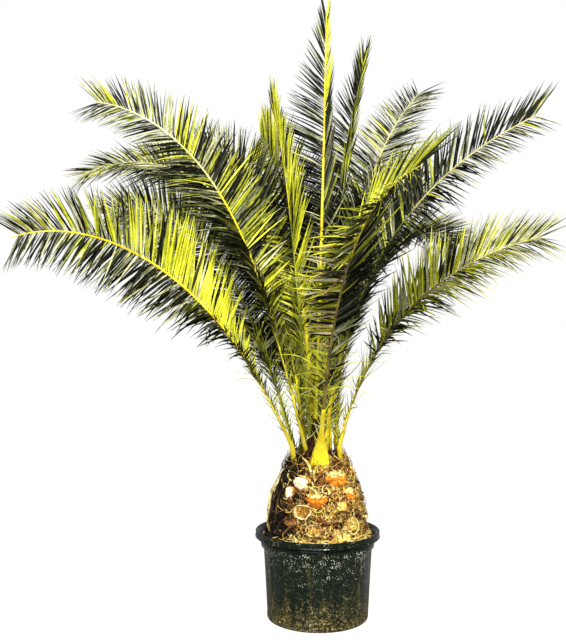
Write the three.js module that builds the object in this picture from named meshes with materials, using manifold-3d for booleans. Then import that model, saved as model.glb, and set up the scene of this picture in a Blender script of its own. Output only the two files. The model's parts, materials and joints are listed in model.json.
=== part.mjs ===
// A young date palm in a black nursery pot: pot, soil, a pineapple-shaped trunk of cut leaf bases, and a
// crown of feather-shaped fronds. Millimetres, +Z up. The origin is the centre of the pot's flat underside.
import * as THREE from "three";
import { mergeVertices } from "three/addons/utils/BufferGeometryUtils.js";
import Module from "manifold-3d";

const wasm = await Module();
wasm.setup();

// ---- Driving dimensions ----
const CLEARANCE = 0.3; // between neighbouring solids that touch on the real plant

const POT = {
  height: 325,
  rimRadius: 230, // outside of the rolled rim
  bodyTopRadius: 204, // wall under the rim
  footRadius: 187,
  cornerRadius: 10, // where the wall meets the flat underside
  wall: 4,
  rimDepth: 24, // height of the rolled rim
  shoulderDepth: 58, // top of the pot down to the step under the rim
  shoulderStep: 4,
};

const SOIL = { top: 300, edgeDrop: 6 };

const TRUNK = {
  bellyRadius: 163,
  bellyHeight: 350, // the trunk swells up to this level and narrows above it
  shoulderHeight: 592, // where the green leaf stalks begin
  shoulderRadius: 82,
  heartRadius: 56, // bundle of young leaf bases inside the stalks
  heartTop: 762,
};

// Cut stubs of old leaves, in a spiral that climbs the trunk.
const STUBS = {
  count: 52,
  first: 114, // compass direction of the lowest stub, degrees
  turn: 137, // degrees from each stub to the next
  lowest: 316,
  highest: 554,
  width: 70,
  height: 50,
  reach: 18, // how far a stub stands out of the trunk
  slope: 40, // degrees that it points above level
};

// How a frond is built, as shares of its own length unless a unit is given.
const BLADE = {
  pairs: 38, // leaflet pairs on each frond
  start: 0.17, // length of the bare stalk
  stalkRings: 5,
  leafletLength: 250, // longest leaflet, millimetres
  tipShare: 0.6, // leaflets at the tip of the blade, against the longest
  endLength: 60, // the leaflet at the tip of the rib, millimetres
  spread: [64, 40], // degrees between leaflet and rib, at the foot and at the tip of the blade
  spreadEase: 3, // more keeps the wide angle for longer, so that it closes only near the tip
  lift: [20, 10], // degrees that leaflets stand above the blade's plane
  sag: 0.14, // how much their own weight turns them down
  ribWidth: [40, 27, 15, 4], // millimetres, at the foot, at 8 %, at the blade's start and at the tip
  ribDepth: [22, 14, 10, 3],
};

// Levels at which the stalks leave the heart: distance from the axis and height.
// size: of the rib there, against the sizes in BLADE.
const SEATS = {
  outer: { radius: 76, height: 586, size: 0.84 },
  middle: { radius: 48, height: 630, size: 0.68 },
  inner: { radius: 29, height: 680, size: 0.55 },
  centre: { radius: 6, height: 750, size: 0.7 },
};

// side: compass direction of the frond, degrees anticlockwise from +X seen from above.
// rise: angle above level at its foot. droop: how far it has bent over at its tip. sway: sideways bend.
// stiffness: 1 bends evenly, more keeps the bend for the outer end. twist: turn of the blade about its rib.
// open: 1 is a fully spread leaf, less is a young one whose outer part is still folded. fold: share of the
// blade from which it folds, 0.1 if not given. openRight and foldRight are the same for its right side.
// bare: share of the blade by which its short first leaflets run on. foot: width of its foot.
// leaf: length of its leaflets against the longest.
const FRONDS = [
  { name: "front", seat: "outer", side: 273, rise: 55, droop: 42.5, sway: 29.5,
    stiffness: 3.5, twist: 45, length: 1310, leaf: 1.1, bare: 0.3, foot: 2.2 },
  { name: "front_left", seat: "inner", side: 188, rise: 85, droop: 9.5, sway: 0,
    stiffness: 5, twist: 0, length: 1220, leaf: 0.8, open: 0.1, openRight: 0.5, foldRight: 0.3 },
  { name: "right_low", seat: "outer", side: 334, rise: 78, droop: 68, sway: -3,
    stiffness: 1.2, twist: 45, length: 1140, leaf: 1, bare: 0.04, foot: 1.15 },
  { name: "left_low", seat: "outer", side: 204, rise: 63, droop: 80, sway: 29,
    stiffness: 1.9, twist: -90, length: 1430, leaf: 0.92, foot: 1.15 },
  { name: "right_high", seat: "middle", side: 305.5, rise: 83, droop: 65, sway: 19,
    stiffness: 1.05, twist: 67, length: 1460, leaf: 0.82 },
  { name: "left_high", seat: "middle", side: 202, rise: 74.7, droop: 67, sway: -26,
    stiffness: 3.05, twist: -68, length: 1540, leaf: 0.84 },
  { name: "spear", seat: "centre", side: 197, rise: 92, droop: 1, sway: 2,
    stiffness: 1.35, twist: 90, length: 1480, leaf: 0.75, open: 0.02, openRight: 0, foldRight: 0.65 },
  { name: "right_spear", seat: "inner", side: 48.5, rise: 88.5, droop: 20, sway: 6,
    stiffness: 1.1, twist: 0, length: 1500, leaf: 0.75, open: 0.1, fold: 0.6, openRight: 0.05 },
  { name: "right_back", seat: "middle", side: 59, rise: 76, droop: 34.7, sway: -19,
    stiffness: 2, twist: 22, length: 1640, leaf: 0.85 },
  { name: "back_left", seat: "inner", side: 124, rise: 84, droop: 75, sway: -30,
    stiffness: 2.2, twist: -75, length: 1520, leaf: 1.05 },
  { name: "left_back", seat: "middle", side: 149, rise: 80, droop: 107, sway: 34,
    stiffness: 2.35, twist: -36, length: 1620, leaf: 0.98 },
  { name: "left_behind", seat: "outer", side: 131, rise: 86, droop: 103, sway: 29,
    stiffness: 2.3, twist: -80, length: 1650, leaf: 0.95 },
  { name: "right_behind", seat: "middle", side: 20, rise: 87, droop: 112, sway: 33,
    stiffness: 1.85, twist: -23, length: 1250, leaf: 0.85 },
  { name: "back_middle", seat: "middle", side: 102, rise: 87, droop: 112, sway: 25,
    stiffness: 1.5, twist: 20, length: 1450, leaf: 0.9 },
  { name: "back_right_low", seat: "outer", side: 30, rise: 86, droop: 100, sway: 20,
    stiffness: 3, twist: -75, length: 1330, leaf: 1.05 },
  { name: "back_right", seat: "outer", side: 70, rise: 85, droop: 106, sway: 15,
    stiffness: 1.9, twist: -75, length: 1400, leaf: 0.85 },
  { name: "back", seat: "outer", side: 98, rise: 58, droop: 74, sway: 20,
    stiffness: 1.1, twist: 0, length: 1200, leaf: 0.95 },
  { name: "back_left_low", seat: "outer", side: 161, rise: 72, droop: 90, sway: -11,
    stiffness: 2.6, twist: -67, length: 1420, leaf: 1.1 },
];

const SPLIT_DROOP = 20; // a frond that droops more than this is two solids, met at its bend
const SPLIT_AT = 0.5; // share of the length where it is parted
const SHORTER = [1, 0.8, 0.6, 0.42, 0.28]; // lengths tried for a leaflet that would touch a neighbour
const LEAFLET_GAP = 0.8; // least gap between leaflets of different fronds

// ---- Small helpers ----
const radians = THREE.MathUtils.degToRad;
const smooth = THREE.MathUtils.smoothstep;
const mix = THREE.MathUtils.lerp;

// The same even scatter from -1 to 1 for the same number, so that every build is alike.
function scatter(seed) {
  const value = Math.sin(seed * 12.9898) * 43758.5453;
  return 2 * (value - Math.floor(value)) - 1;
}

// A closed geometry as a manifold-3d solid.
function toSolid(geometry) {
  const bare = new THREE.BufferGeometry().setAttribute("position", geometry.getAttribute("position"));
  bare.setIndex(geometry.index);
  const merged = mergeVertices(bare, 1e-3);
  return new wasm.Manifold(
    new wasm.Mesh({
      numProp: 3,
      vertProperties: merged.attributes.position.array,
      triVerts: new Uint32Array(merged.index.array),
    }),
  );
}

function toGeometry(solid) {
  const mesh = solid.getMesh();
  const geometry = new THREE.BufferGeometry();
  geometry.setAttribute("position", new THREE.BufferAttribute(new Float32Array(mesh.vertProperties), 3));
  geometry.setIndex(new THREE.BufferAttribute(new Uint32Array(mesh.triVerts), 1));
  geometry.computeVertexNormals();
  return geometry;
}

function fromFaces(points, faces) {
  const geometry = new THREE.BufferGeometry().setFromPoints(points);
  geometry.setIndex(faces.flat());
  geometry.computeVertexNormals();
  return geometry;
}

// A solid of revolution about +Z from [radius, height] pairs that start and end on the axis, foot first.
function turned(profile, segments) {
  const lathe = new THREE.LatheGeometry(profile.map(([r, z]) => new THREE.Vector2(r, z)), segments);
  return lathe.rotateX(Math.PI / 2);
}

// ---- Pot and soil ----
function potGeometry() {
  const { height, rimRadius, bodyTopRadius, footRadius, cornerRadius, wall } = POT;
  const { rimDepth, shoulderDepth, shoulderStep } = POT;
  const corner = [0, 1, 2, 3].map((i) => {
    const angle = (i / 3) * (Math.PI / 2);
    return [footRadius - cornerRadius * (1 - Math.sin(angle)), cornerRadius * (1 - Math.cos(angle))];
  });
  const rimRound = rimDepth / 4;
  return turned(
    [
      [0, 0],
      ...corner,
      [bodyTopRadius - shoulderStep, height - shoulderDepth - shoulderStep],
      [bodyTopRadius + shoulderStep, height - shoulderDepth],
      [bodyTopRadius + shoulderStep * 2, height - rimDepth],
      [rimRadius - rimRound / 2, height - rimDepth],
      [rimRadius, height - rimDepth + rimRound],
      [rimRadius - rimRound / 2, height - rimRound / 2],
      [rimRadius - rimRound * 1.5, height],
      [bodyTopRadius + shoulderStep * 2 - wall + 2, height - rimRound],
      [bodyTopRadius + shoulderStep - wall, height - shoulderDepth],
      [bodyTopRadius - shoulderStep - wall, height - shoulderDepth - shoulderStep],
      [footRadius - wall, cornerRadius + wall],
      [footRadius - wall - cornerRadius / 2, wall],
      [0, wall],
    ],
    48,
  );
}

// Inside radius of the pot's lower wall at a height.
function potInside(z) {
  const low = POT.cornerRadius + POT.wall;
  const high = POT.height - POT.shoulderDepth - POT.shoulderStep;
  const share = (z - low) / (high - low);
  return mix(POT.footRadius - POT.wall, POT.bodyTopRadius - POT.shoulderStep - POT.wall, share);
}

function soilGeometry() {
  const floor = POT.wall + CLEARANCE;
  const low = POT.cornerRadius + POT.wall;
  const step = POT.height - POT.shoulderDepth - POT.shoulderStep;
  const edge = POT.bodyTopRadius + POT.shoulderStep - POT.wall - CLEARANCE;
  return turned(
    [
      [0, floor],
      [potInside(low) - POT.cornerRadius / 2 - CLEARANCE, floor],
      [potInside(low) - CLEARANCE, low],
      [potInside(step) - CLEARANCE, step],
      [edge, POT.height - POT.shoulderDepth],
      [edge, SOIL.top - SOIL.edgeDrop],
      [TRUNK.bellyRadius + 8, SOIL.top],
      [0, SOIL.top],
    ],
    48,
  );
}

// ---- Trunk ----
// Radius of the trunk's core at a height, without its stubs.
function trunkRadius(z) {
  const { bellyRadius, bellyHeight, shoulderHeight, shoulderRadius } = TRUNK;
  if (z < bellyHeight) return bellyRadius;
  const share = (z - bellyHeight) / (shoulderHeight - bellyHeight);
  return mix(bellyRadius, shoulderRadius, share ** 2);
}

function trunkProfile(grow = 0) {
  const { bellyHeight, shoulderHeight, heartRadius, heartTop } = TRUNK;
  const foot = SOIL.top + CLEARANCE;
  const levels = [0, 0.25, 0.45, 0.62, 0.76, 0.88, 1].map((s) => mix(bellyHeight, shoulderHeight, s));
  return [
    [0, foot - grow],
    [trunkRadius(foot) + 4 + grow, foot - grow],
    ...levels.map((z) => [trunkRadius(z) + grow, z]),
    [heartRadius + grow, shoulderHeight + 10 + grow],
    [heartRadius * 0.62 + grow, mix(shoulderHeight, heartTop, 0.38)],
    [heartRadius * 0.34 + grow, mix(shoulderHeight, heartTop, 0.7)],
    [heartRadius * 0.12 + grow, heartTop - 4 + grow],
    [0, heartTop + grow],
  ];
}

// One cut leaf stub: a flattened block with a keel below, pointing out and up, its end cut off square.
function stubSolid(index) {
  const share = index / (STUBS.count - 1);
  const z = mix(STUBS.lowest, STUBS.highest, share) + 5 * scatter(index + 0.1);
  const size = mix(1.08, 0.72, share);
  const width = STUBS.width * size * (1 + 0.12 * scatter(index + 0.2));
  const height = STUBS.height * size;
  const outline = new THREE.Shape();
  outline.moveTo(-width / 2, 0);
  outline.lineTo(-width * 0.22, -height * 0.45);
  outline.lineTo(width * 0.22, -height * 0.45);
  outline.lineTo(width / 2, 0);
  outline.lineTo(width * 0.2, height * 0.4);
  outline.lineTo(-width * 0.2, height * 0.4);
  const sunk = 40;
  const reach = STUBS.reach + 5 * scatter(index + 0.3);
  const block = new THREE.ExtrudeGeometry(outline, { depth: sunk + reach, bevelEnabled: false });
  block.translate(0, 0, -sunk);
  block.rotateX(Math.PI / 2 - radians(STUBS.slope + 7 * scatter(index + 0.4))); // points along -Y, and up
  const turn = radians(STUBS.first + STUBS.turn * index + 5 * scatter(index + 0.5));
  const radius = trunkRadius(z);
  const place = new THREE.Matrix4()
    .makeRotationZ(turn + Math.PI / 2)
    .premultiply(new THREE.Matrix4().makeTranslation(radius * Math.cos(turn), radius * Math.sin(turn), z));
  return toSolid(block.applyMatrix4(place));
}

function trunkSolid() {
  let solid = toSolid(turned(trunkProfile(), 30));
  for (let i = 0; i < STUBS.count; i++) solid = solid.add(stubSolid(i));
  const belowGround = new THREE.BoxGeometry(600, 600, 100).translate(0, 0, SOIL.top + CLEARANCE - 50);
  return solid.subtract(toSolid(belowGround));
}

// ---- Fronds ----
// Width and depth of the rib, from the four sizes that BLADE gives.
function taper(sizes, u) {
  const [foot, low, blade, tip] = sizes;
  if (u < 0.08) return mix(foot, low, smooth(u, 0, 0.08));
  if (u < BLADE.start) return mix(low, blade, (u - 0.08) / (BLADE.start - 0.08));
  return mix(blade, tip, (u - BLADE.start) / (1 - BLADE.start));
}

// The frond's direction at a share u of its length, with its left side and its upper side.
function direction(frond, u) {
  const climb = radians(frond.rise - frond.droop * u ** frond.stiffness);
  const heading = radians(frond.side + frond.sway * u * u);
  const along = new THREE.Vector3(
    Math.cos(climb) * Math.cos(heading),
    Math.cos(climb) * Math.sin(heading),
    Math.sin(climb),
  );
  const left = new THREE.Vector3(-Math.sin(heading), Math.cos(heading), 0);
  const turn = radians(frond.twist) * smooth(u, 0.05, 0.75);
  left.applyAxisAngle(along, turn);
  return { along, left, up: new THREE.Vector3().crossVectors(along, left) };
}

// Stations along the rib, foot to tip, each with its place, directions and half sizes.
function stations(frond) {
  const seat = SEATS[frond.seat];
  const side = radians(frond.side);
  const point = new THREE.Vector3(seat.radius * Math.cos(side), seat.radius * Math.sin(side), seat.height);
  const shares = [];
  for (let i = 0; i < BLADE.stalkRings; i++) shares.push((i / BLADE.stalkRings) * BLADE.start);
  for (let i = 0; i <= BLADE.pairs; i++) shares.push(mix(BLADE.start, 1, i / BLADE.pairs));
  const size = (u) => mix(seat.size, 1, smooth(u, 0.1, 0.3)) * mix(frond.foot ?? 1, 1, smooth(u, 0, 0.12));
  const steps = 6; // between stations, so that the curve is the same whatever their spacing
  let last = 0;
  return shares.map((u) => {
    for (let k = 0; k < steps; k++) {
      const middle = mix(last, u, (k + 0.5) / steps);
      point.addScaledVector(direction(frond, middle).along, (frond.length * (u - last)) / steps);
    }
    last = u;
    return {
      u,
      point: point.clone(),
      ...direction(frond, u),
      halfWidth: (taper(BLADE.ribWidth, u) * size(u)) / 2,
      halfDepth: (taper(BLADE.ribDepth, u) * size(u)) / 2,
    };
  });
}

// Where a leaflet points. hand is 1 on the left and -1 on the right; b is its share of the blade. stray is
// how far it strays from its neighbours, from -1 to 1.
function leafletDirection(frond, at, hand, b, stray) {
  const fold = (hand > 0 ? frond.fold : frond.foldRight) ?? 0.1;
  const open = mix(1, (hand > 0 ? frond.open : frond.openRight) ?? 1, smooth(b, fold, fold + 0.35));
  const spread = radians(mix(...BLADE.spread, b ** BLADE.spreadEase) + 1.2 * stray) * mix(0.3, 1, open);
  const lift = radians(mix(...BLADE.lift, b) + 30 * (1 - open));
  return at.along
    .clone()
    .multiplyScalar(Math.cos(spread))
    .addScaledVector(at.left, hand * Math.sin(spread) * Math.cos(lift))
    .addScaledVector(at.up, Math.sin(spread) * Math.sin(lift))
    .add(new THREE.Vector3(0, 0, -BLADE.sag * open))
    .normalize();
}

function leafletLength(frond, b) {
  const grown = smooth(b - (frond.bare ?? 0), -0.05, 0.35);
  const share = mix(0.3, 1, grown) * mix(1, BLADE.tipShare, smooth(b, 0.5, 1));
  return BLADE.leafletLength * frond.leaf * share;
}

// The four corners of a station: left top, left bottom, right bottom, right top.
function corners(at) {
  const corner = (s, n) =>
    at.point
      .clone()
      .addScaledVector(at.left, s * at.halfWidth)
      .addScaledVector(at.up, n * at.halfDepth);
  return [corner(1, 1), corner(1, -1), corner(-1, -1), corner(-1, 1)];
}

// The side panel between two stations that a leaflet grows from, in order round its edge, seen from outside.
function sidePanel(a, b, hand) {
  const near = corners(a);
  const far = corners(b);
  return hand > 0 ? [near[0], far[0], far[1], near[1]] : [near[2], far[2], far[3], near[3]];
}

// A closed piece of a frond from one station to another: the rib, with a leaflet drawn out of each side panel
// that has a tip. The last station of the frond ends in a pointed leaflet.
function pieceGeometry(row, tips, from, to) {
  const points = [];
  const faces = [];
  for (let i = from; i <= to; i++) {
    const at = { ...row[i] };
    if (i === from && from > 0) at.point = at.point.clone().addScaledVector(at.along, CLEARANCE);
    points.push(...corners(at));
  }
  const last = (to - from) * 4;
  const panel = ([a, b, c, d], tip) => {
    if (!tip) return faces.push([a, b, c], [a, c, d]);
    const t = points.push(tip) - 1;
    return faces.push([a, b, t], [b, c, t], [c, d, t], [d, a, t]);
  };
  for (let i = from; i < to; i++) {
    const n = (i - from) * 4;
    for (let k = 0; k < 4; k++) {
      const next = (k + 1) % 4;
      const hand = { 0: "left", 2: "right" }[k];
      panel([n + k, n + 4 + k, n + 4 + next, n + next], hand && tips[i]?.[hand]);
    }
  }
  faces.push([0, 1, 2], [0, 2, 3]);
  panel([last + 3, last + 2, last + 1, last], to === row.length - 1 ? tips.end : null);
  return fromFaces(points, faces);
}

// A leaflet by itself, closed, for measuring how near it comes to a neighbour.
function leafletSolid([a, b, c, d], tip) {
  return toSolid(
    fromFaces(
      [a, b, c, d, tip],
      [
        [0, 1, 4],
        [1, 2, 4],
        [2, 3, 4],
        [3, 0, 4],
        [0, 3, 2],
        [0, 2, 1],
      ],
    ),
  );
}

function boxOf(solid) {
  const { min, max } = solid.boundingBox();
  return new THREE.Box3(new THREE.Vector3(...min), new THREE.Vector3(...max)).expandByScalar(LEAFLET_GAP);
}

// Grows every frond's leaflets. One that would touch another frond or the trunk is made shorter, or left out.
function growLeaflets(ribs, trunk) {
  const placed = [{ owner: "trunk", solid: trunk, box: boxOf(trunk) }];
  for (const rib of ribs) {
    const solid = toSolid(pieceGeometry(rib.row, {}, 0, rib.row.length - 1));
    placed.push({ owner: rib.frond.name, solid, box: boxOf(solid) });
  }
  const isFree = (owner, solid) => {
    const box = boxOf(solid);
    const touches = (other) =>
      other.box.intersectsBox(box) && other.solid.minGap(solid, LEAFLET_GAP) < LEAFLET_GAP;
    return !placed.some((other) => other.owner !== owner && touches(other));
  };
  for (const { frond, row, tips } of ribs) {
    for (let i = BLADE.stalkRings; i < row.length - 1; i++) {
      const b = (i - BLADE.stalkRings + 0.5) / BLADE.pairs;
      tips[i] = {};
      for (const hand of [1, -1]) {
        const panel = sidePanel(row[i], row[i + 1], hand);
        const root = panel.reduce((sum, p) => sum.add(p), new THREE.Vector3()).multiplyScalar(0.25);
        const stray = scatter(frond.length + i + hand / 4);
        const towards = leafletDirection(frond, row[i], hand, b, stray);
        for (const shorter of SHORTER) {
          const reach = leafletLength(frond, b) * (1 + 0.06 * stray) * shorter;
          const tip = root.clone().addScaledVector(towards, reach);
          const solid = leafletSolid(panel, tip);
          if (!isFree(frond.name, solid)) continue;
          placed.push({ owner: frond.name, solid, box: boxOf(solid) });
          tips[i][hand > 0 ? "left" : "right"] = tip;
          break;
        }
      }
    }
    const end = row[row.length - 1];
    tips.end = end.point.clone().addScaledVector(end.along, BLADE.endLength);
  }
}

// ---- Assembly ----
const FINISH = {
  pot: new THREE.MeshStandardMaterial({ color: 0x23281f, roughness: 0.5, metalness: 0 }),
  soil: new THREE.MeshStandardMaterial({ color: 0x6b4a2c, roughness: 0.95, metalness: 0 }),
  trunk: new THREE.MeshStandardMaterial({ color: 0x9a6b35, roughness: 0.9, metalness: 0 }),
  frond: new THREE.MeshStandardMaterial({ color: 0x8f9a26, roughness: 0.5, metalness: 0 }),
};

const palm = new THREE.Group();

function addMesh(name, geometry, finish) {
  const mesh = new THREE.Mesh(geometry, finish);
  mesh.name = name;
  palm.add(mesh);
}

const trunk = trunkSolid();
const ribs = FRONDS.map((frond) => ({ frond, row: stations(frond), tips: {} }));
growLeaflets(ribs, trunk);

addMesh("pot", potGeometry(), FINISH.pot);
addMesh("soil", soilGeometry(), FINISH.soil);
addMesh("trunk", toGeometry(trunk), FINISH.trunk);

// The stalks' feet are cut to the trunk's surface, a small gap clear of it.
const seatCut = toSolid(turned(trunkProfile(CLEARANCE), 30));
for (const { frond, row, tips } of ribs) {
  const end = row.length - 1;
  const part = (from, to) => toSolid(pieceGeometry(row, tips, from, to));
  if (frond.droop <= SPLIT_DROOP) {
    addMesh(`frond_${frond.name}`, toGeometry(part(0, end).subtract(seatCut)), FINISH.frond);
    continue;
  }
  const middle = row.findIndex((at) => at.u > SPLIT_AT);
  addMesh(`frond_${frond.name}_stalk`, toGeometry(part(0, middle).subtract(seatCut)), FINISH.frond);
  addMesh(`frond_${frond.name}_tip`, toGeometry(part(middle, end)), FINISH.frond);
}

export default palm;
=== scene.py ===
# Young date palm in a black nursery pot. Metres, +Z up. The pot stands on z = 0, centred on the Z axis.
import json
import math
from functools import partial

import bpy
import numpy as np
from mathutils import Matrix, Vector

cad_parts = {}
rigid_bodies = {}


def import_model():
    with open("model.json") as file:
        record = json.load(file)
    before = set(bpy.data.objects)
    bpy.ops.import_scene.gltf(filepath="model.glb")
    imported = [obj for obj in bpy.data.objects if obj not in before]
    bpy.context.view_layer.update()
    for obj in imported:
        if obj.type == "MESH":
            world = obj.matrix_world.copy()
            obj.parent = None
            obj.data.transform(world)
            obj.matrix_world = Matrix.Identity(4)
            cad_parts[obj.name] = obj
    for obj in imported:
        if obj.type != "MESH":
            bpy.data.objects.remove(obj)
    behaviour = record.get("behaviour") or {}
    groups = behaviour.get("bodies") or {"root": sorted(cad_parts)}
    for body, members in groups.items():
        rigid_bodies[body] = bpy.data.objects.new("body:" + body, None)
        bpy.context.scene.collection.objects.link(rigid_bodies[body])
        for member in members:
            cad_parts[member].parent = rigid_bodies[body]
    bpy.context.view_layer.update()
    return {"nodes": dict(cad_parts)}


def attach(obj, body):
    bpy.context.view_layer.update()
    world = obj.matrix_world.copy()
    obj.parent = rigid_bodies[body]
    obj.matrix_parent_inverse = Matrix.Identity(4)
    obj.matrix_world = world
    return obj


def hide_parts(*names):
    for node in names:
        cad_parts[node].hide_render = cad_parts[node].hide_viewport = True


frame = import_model()
print("frame loaded:", len(frame["nodes"]), "solids")

rng = np.random.default_rng(41)
mm = 0.001


def mix(a, b, t):
    return a + (b - a) * t


def smooth(x, low, high):
    t = np.clip((x - low) / (high - low), 0, 1)
    return t * t * (3 - 2 * t)


def scatter(seed):  # the same number from -1 to 1 for the same seed, as the solids use
    value = np.sin(seed * 12.9898) * 43758.5453
    return 2 * (value - np.floor(value)) - 1


def unit(v):
    return v / np.maximum(np.linalg.norm(v, axis=-1, keepdims=True), 1e-12)


def across(v, axis):  # the part of v that is square to axis, at length 1
    return unit(v - axis * np.sum(v * axis, axis=-1, keepdims=True))


def turned(v, axis, angle):  # v, square to axis, turned about it
    angle = np.asarray(angle)[..., None]
    return v * np.cos(angle) + np.cross(axis, v) * np.sin(angle)


def around(count):  # count angles round a full turn
    return np.linspace(0, 2 * math.pi, count, endpoint=False)


def polar(radius, heading, z=0.0):  # points round the Z axis; heading in radians
    x = radius * np.cos(heading)
    return np.stack([x, radius * np.sin(heading), z + np.zeros_like(x)], -1)


# A bundle collects vertices and faces until they become one piece.
def newBundle():
    return {"verts": [], "faces": [], "count": 0}


def addToBundle(bundle, verts, faces):
    verts = np.asarray(verts, float).reshape(-1, 3)
    bundle["verts"].append(verts)
    bundle["faces"].extend([[i + bundle["count"] for i in face] for face in faces])
    bundle["count"] += len(verts)
    return bundle


# Quads between rings of corners, and a face over the first and the last ring where they are capped.
def ringFaces(rings, corners, capped=True):
    faces = [[i * corners + k, i * corners + (k + 1) % corners,
              (i + 1) * corners + (k + 1) % corners, (i + 1) * corners + k]
             for i in range(rings - 1) for k in range(corners)]
    if capped:
        faces += [list(range(corners))[::-1], [(rings - 1) * corners + k for k in range(corners)]]
    return faces


# Many closed strands at once. centre, side and lift are (strands, rings, 3); halfWidth and halfDepth are
# (strands, rings). section lists (across, fold, thickness) corners, anticlockwise seen from the strand's end.
def addStrands(bundle, centre, side, lift, halfWidth, halfDepth, section):
    section = np.asarray(section, float)
    corners = len(section)
    strands, rings = centre.shape[:2]
    wide = halfWidth[..., None] * section[:, 0]
    high = halfWidth[..., None] * section[:, 1] + halfDepth[..., None] * section[:, 2]
    verts = centre[:, :, None] + side[:, :, None] * wide[..., None] + lift[:, :, None] * high[..., None]
    ring = np.arange(rings - 1)[:, None] * corners
    k = np.arange(corners)[None]
    after = (k + 1) % corners
    quads = np.stack([ring + k, ring + after, ring + corners + after, ring + corners + k], -1).reshape(-1, 4)
    start = np.arange(corners)[::-1]
    end = np.arange(corners) + (rings - 1) * corners
    base = (np.arange(strands) * rings * corners)[:, None, None] + bundle["count"]
    bundle["verts"].append(verts.reshape(-1, 3))
    bundle["faces"].extend((quads[None] + base).reshape(-1, 4).tolist())
    bundle["faces"].extend((start[None, None] + base).reshape(-1, corners).tolist())
    bundle["faces"].extend((end[None, None] + base).reshape(-1, corners).tolist())
    bundle["count"] += strands * rings * corners


# Strands of several kinds. kind gives each one's place in names, which name the bundles.
def dealStrands(bundles, names, kind, parts, section):
    for index, name in enumerate(names):
        addStrands(bundles[name], *(part[kind == index] for part in parts), section)


# Straight strands that leave their roots. Returns centres, sides, and lifts as near to up as can be.
def straightStrands(root, aim, up, length, t):
    centre = root[:, None] + aim[:, None] * (length[:, None] * t)[..., None]
    lift = np.repeat(across(up, aim)[:, None], len(t), 1)
    return centre, np.cross(lift, np.repeat(aim[:, None], len(t), 1)), lift


def addObject(name, data):
    thing = bpy.data.objects.new(name, data)
    bpy.context.scene.collection.objects.link(thing)
    return thing


def makePiece(name, bundle, material, replaces=(), shadeSmooth=False):
    mesh = bpy.data.meshes.new(name)
    mesh.from_pydata(np.concatenate(bundle["verts"]).tolist(), [], bundle["faces"])
    mesh.validate()
    mesh.polygons.foreach_set("use_smooth", [shadeSmooth] * len(mesh.polygons))
    mesh.materials.append(material)
    piece = addObject(name, mesh)
    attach(piece, "root")
    if replaces:
        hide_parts(*replaces)


def hexColour(code):  # "d8c92a" in sRGB to linear light
    parts = [int(code[i:i + 2], 16) / 255 for i in (0, 2, 4)]
    return [c / 12.92 if c <= 0.04045 else ((c + 0.055) / 1.055) ** 2.4 for c in parts] + [1.0]


# Fills a socket with a value, or links it to another socket or to the first output of a node.
def give(socket, value):
    if isinstance(value, bpy.types.Node):
        value = value.outputs[0]
    if isinstance(value, bpy.types.NodeSocket):
        socket.id_data.links.new(value, socket)
    else:
        socket.default_value = value


# Adds one node. inputs says what its sockets are given. stops are the places and the colours of a ramp.
def addNode(tree, kind, inputs=None, stops=None, **settings):
    node = tree.nodes.new(kind)
    for key, value in settings.items():
        setattr(node, key, value)
    for key, value in (inputs or {}).items():
        give(node.inputs[key], value)
    if stops:
        places, codes = stops[0], stops[1].split()
        ramp = node.color_ramp.elements
        while len(ramp) < len(places):
            ramp.new(0.5)
        for element, place, code in zip(ramp, places, codes):
            element.position = place
            element.color = hexColour(code)
    return node


# A new material, with what adds a node to it, its shader and the position that every pattern is drawn in.
def newMaterial(name, **shaderValues):
    material = bpy.data.materials.new(name)
    material.use_nodes = True
    add = partial(addNode, material.node_tree)
    shader = material.node_tree.nodes["Principled BSDF"]
    for key, value in shaderValues.items():
        shader.inputs[key.replace("_", " ")].default_value = value
    return material, add, shader, add("ShaderNodeTexCoord").outputs["Object"]


def finishShader(add, shader, colour, height, strength, distance):  # its colour, and relief from a height
    give(shader.inputs["Base Color"], colour)
    give(shader.inputs["Normal"],
         add("ShaderNodeBump", {"Height": height, "Strength": strength, "Distance": distance}))


# Leaf: a cuticle whose wax has gone dusty, so its gloss is weak and wide, over veins a few millimetres apart.
def leafMaterial(name, colours, roughness):
    material, add, shader, place = newMaterial(name, Roughness=roughness, IOR=1.42, Specular_IOR_Level=0.25)
    patch = add("ShaderNodeTexNoise", {"Vector": place, "Scale": 9.0, "Detail": 3.0})
    fleck = add("ShaderNodeTexNoise", {"Vector": place, "Scale": 1 / (14 * mm), "Detail": 4.0})
    both = add("ShaderNodeMath", {0: patch, 1: fleck}, operation="ADD")
    half = add("ShaderNodeMath", {0: both, 1: 0.5}, operation="MULTIPLY")
    colour = add("ShaderNodeValToRGB", {"Fac": half}, ((0.36, 0.5, 0.64), colours))
    vein = add("ShaderNodeTexNoise", {"Vector": place, "Scale": 1 / (3 * mm), "Detail": 2.0})
    finishShader(add, shader, colour, vein, 0.25, 0.4 * mm)
    return material


# Leaf stalk: hard, glossy and yellow, with faint green shading and fine lengthwise lines.
def stalkMaterial(name, colours):
    material, add, shader, place = newMaterial(name, Roughness=0.34, IOR=1.46)
    stretch = add("ShaderNodeMapping", {"Vector": place, "Scale": (1.0, 1.0, 0.12)})
    line = add("ShaderNodeTexNoise", {"Vector": stretch, "Scale": 1 / (4 * mm)})
    patch = add("ShaderNodeTexNoise", {"Vector": place, "Scale": 12.0, "Detail": 3.0})
    both = add("ShaderNodeMix", {"Factor": 0.35, 2: patch, 3: line})
    colour = add("ShaderNodeValToRGB", {"Fac": both}, ((0.34, 0.48, 0.66), colours))
    finishShader(add, shader, colour, line, 0.3, 0.6 * mm)
    return material


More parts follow.
